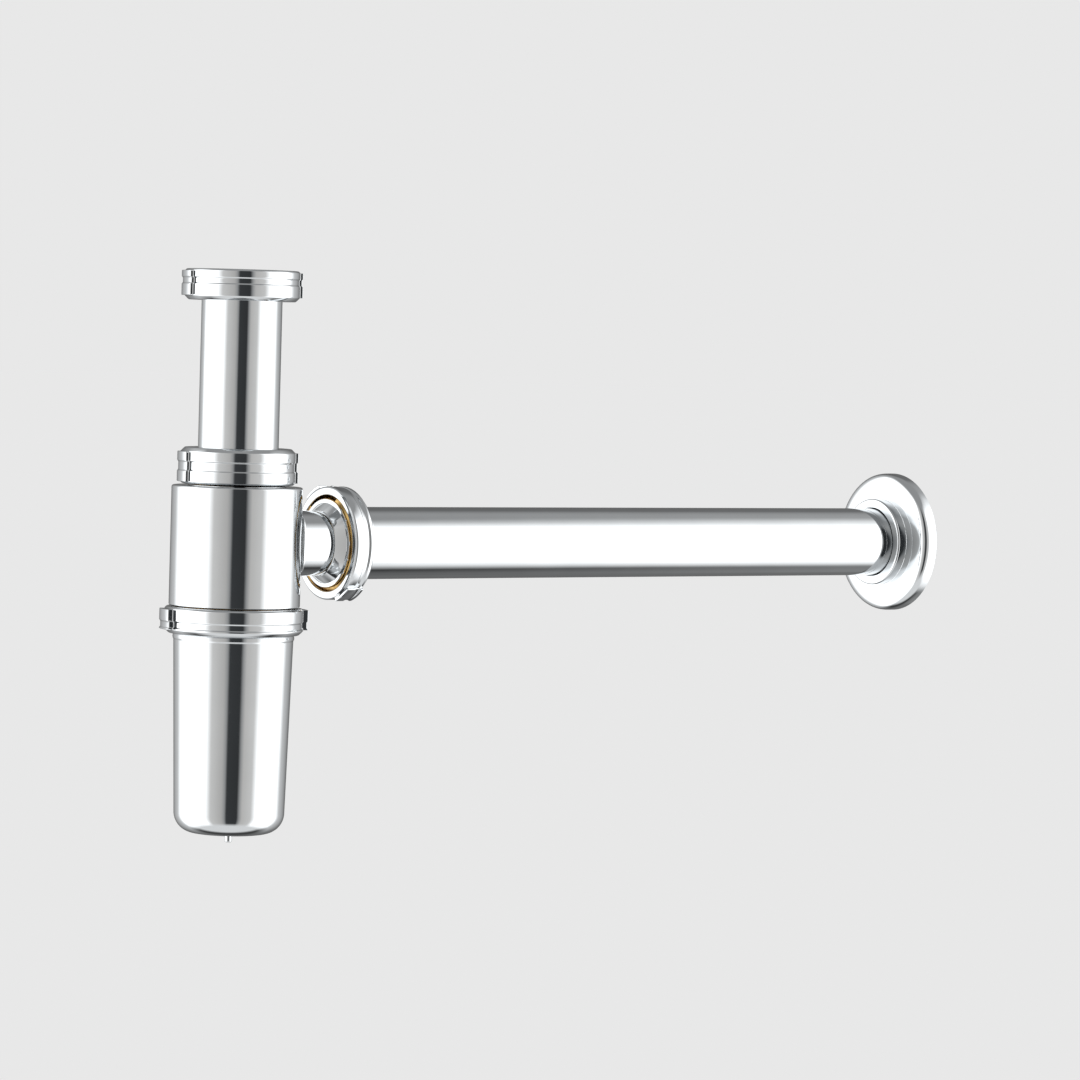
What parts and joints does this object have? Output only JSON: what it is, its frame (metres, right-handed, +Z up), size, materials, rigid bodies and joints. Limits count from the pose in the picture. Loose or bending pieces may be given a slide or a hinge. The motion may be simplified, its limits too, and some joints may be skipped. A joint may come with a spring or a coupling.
{
  "type": "bottle trap",
  "caption": "Chromed basin bottle trap: inlet tube with union nut, barrel with screw-on cup, and outlet pipe to a wall flange.",
  "frame": {"origin": "middle of the inlet washer's top face, on the barrel's axis, where the basin waste seats", "axes": "+Z up along the barrel's axis, +X along the outlet pipe towards the wall"},
  "size_m": [0.417, 0.0656, 0.249],
  "materials": {
    "chrome_plate": "polished",
    "raw_brass": "machined",
    "black_rubber": "moulded",
    "white_nylon": "moulded"
  },
  "bodies": {
    "inlet": {"inlet_tube": "chrome_plate", "inlet_washer": "black_rubber"},
    "inlet_slip": {"inlet_slip_ring": "white_nylon"},
    "inlet_coupling": {"inlet_nut": "chrome_plate"},
    "top_seal": {"top_taper_seal": "black_rubber"},
    "trap": {"barrel": "chrome_plate", "top_neck": "raw_brass", "foot_ring": "raw_brass", "branch_neck": "chrome_plate"},
    "top_slip": {"top_friction_ring": "white_nylon"},
    "top_coupling": {"top_nut": "chrome_plate"},
    "sump": {"cup": "chrome_plate", "cup_washer": "black_rubber"},
    "cup_slip": {"cup_slip_ring": "white_nylon"},
    "cup_coupling": {"cup_nut": "chrome_plate"},
    "outlet_seal": {"outlet_washer": "black_rubber"},
    "outlet": {"outlet_pipe": "chrome_plate"},
    "branch_slip": {"branch_slip_ring": "white_nylon"},
    "branch_coupling": {"branch_nut": "chrome_plate"},
    "flange_grip": {"flange_ring": "black_rubber"},
    "flange": {"wall_flange": "chrome_plate"}
  },
  "joints": [
    {"name": "inlet_nut_drop", "type": "slide", "parent": "inlet", "child": "inlet_slip", "axis": [0, 0, 1], "range_m": [-0.045, 0]},
    {"name": "inlet_nut_spin", "type": "hinge", "parent": "inlet_slip", "child": "inlet_coupling", "pos_m": [0, 0, 0], "axis": [0, 0, 1], "continuous": true},
    {"name": "height_adjust", "type": "slide", "parent": "inlet", "child": "top_seal", "axis": [0, 0, 1], "range_m": [-0.025, 0.04]},
    {"name": "trap_swivel", "type": "hinge", "parent": "top_seal", "child": "trap", "pos_m": [0, 0, -0.08], "axis": [0, 0, 1], "continuous": true},
    {"name": "top_nut_lift", "type": "slide", "parent": "trap", "child": "top_slip", "axis": [0, 0, 1], "range_m": [0, 0.0092]},
    {"name": "top_nut_turn", "type": "hinge", "parent": "top_slip", "child": "top_coupling", "pos_m": [0, 0, -0.077], "axis": [0, 0, 1], "range_deg": [0, 1440]},
    {"name": "cup_pull_off", "type": "slide", "parent": "trap", "child": "sump", "axis": [0, 0, 1], "range_m": [-0.06, 0]},
    {"name": "cup_nut_lower", "type": "slide", "parent": "sump", "child": "cup_slip", "axis": [0, 0, 1], "range_m": [-0.0059, 0]},
    {"name": "cup_nut_turn", "type": "hinge", "parent": "cup_slip", "child": "cup_coupling", "pos_m": [0, 0, -0.146], "axis": [0, 0, 1], "range_deg": [-1440, 0]},
    {"name": "outlet_pull", "type": "slide", "parent": "trap", "child": "outlet_seal", "axis": [1, 0, 0], "range_m": [0, 0.04]},
    {"name": "outlet_turn", "type": "hinge", "parent": "outlet_seal", "child": "outlet", "pos_m": [0.055, 0, -0.1117], "axis": [1, 0, 0], "continuous": true},
    {"name": "branch_nut_back", "type": "slide", "parent": "outlet", "child": "branch_slip", "axis": [1, 0, 0], "range_m": [0, 0.0092]},
    {"name": "branch_nut_turn", "type": "hinge", "parent": "branch_slip", "child": "branch_coupling", "pos_m": [0.05, 0, -0.1117], "axis": [1, 0, 0], "range_deg": [0, 1440]},
    {"name": "flange_slide", "type": "slide", "parent": "outlet", "child": "flange_grip", "axis": [1, 0, 0], "range_m": [-0.28, 0]},
    {"name": "flange_spin", "type": "hinge", "parent": "flange_grip", "child": "flange", "pos_m": [0.372, 0, -0.1117], "axis": [1, 0, 0], "continuous": true}
  ],
  "couplings": [
    {"joint": "top_nut_turn", "follows": "top_nut_lift", "rad_per_m": 2721.2},
    {"joint": "cup_nut_turn", "follows": "cup_nut_lower", "rad_per_m": 4188.8},
    {"joint": "branch_nut_turn", "follows": "branch_nut_back", "rad_per_m": 2721.2}
  ]
}
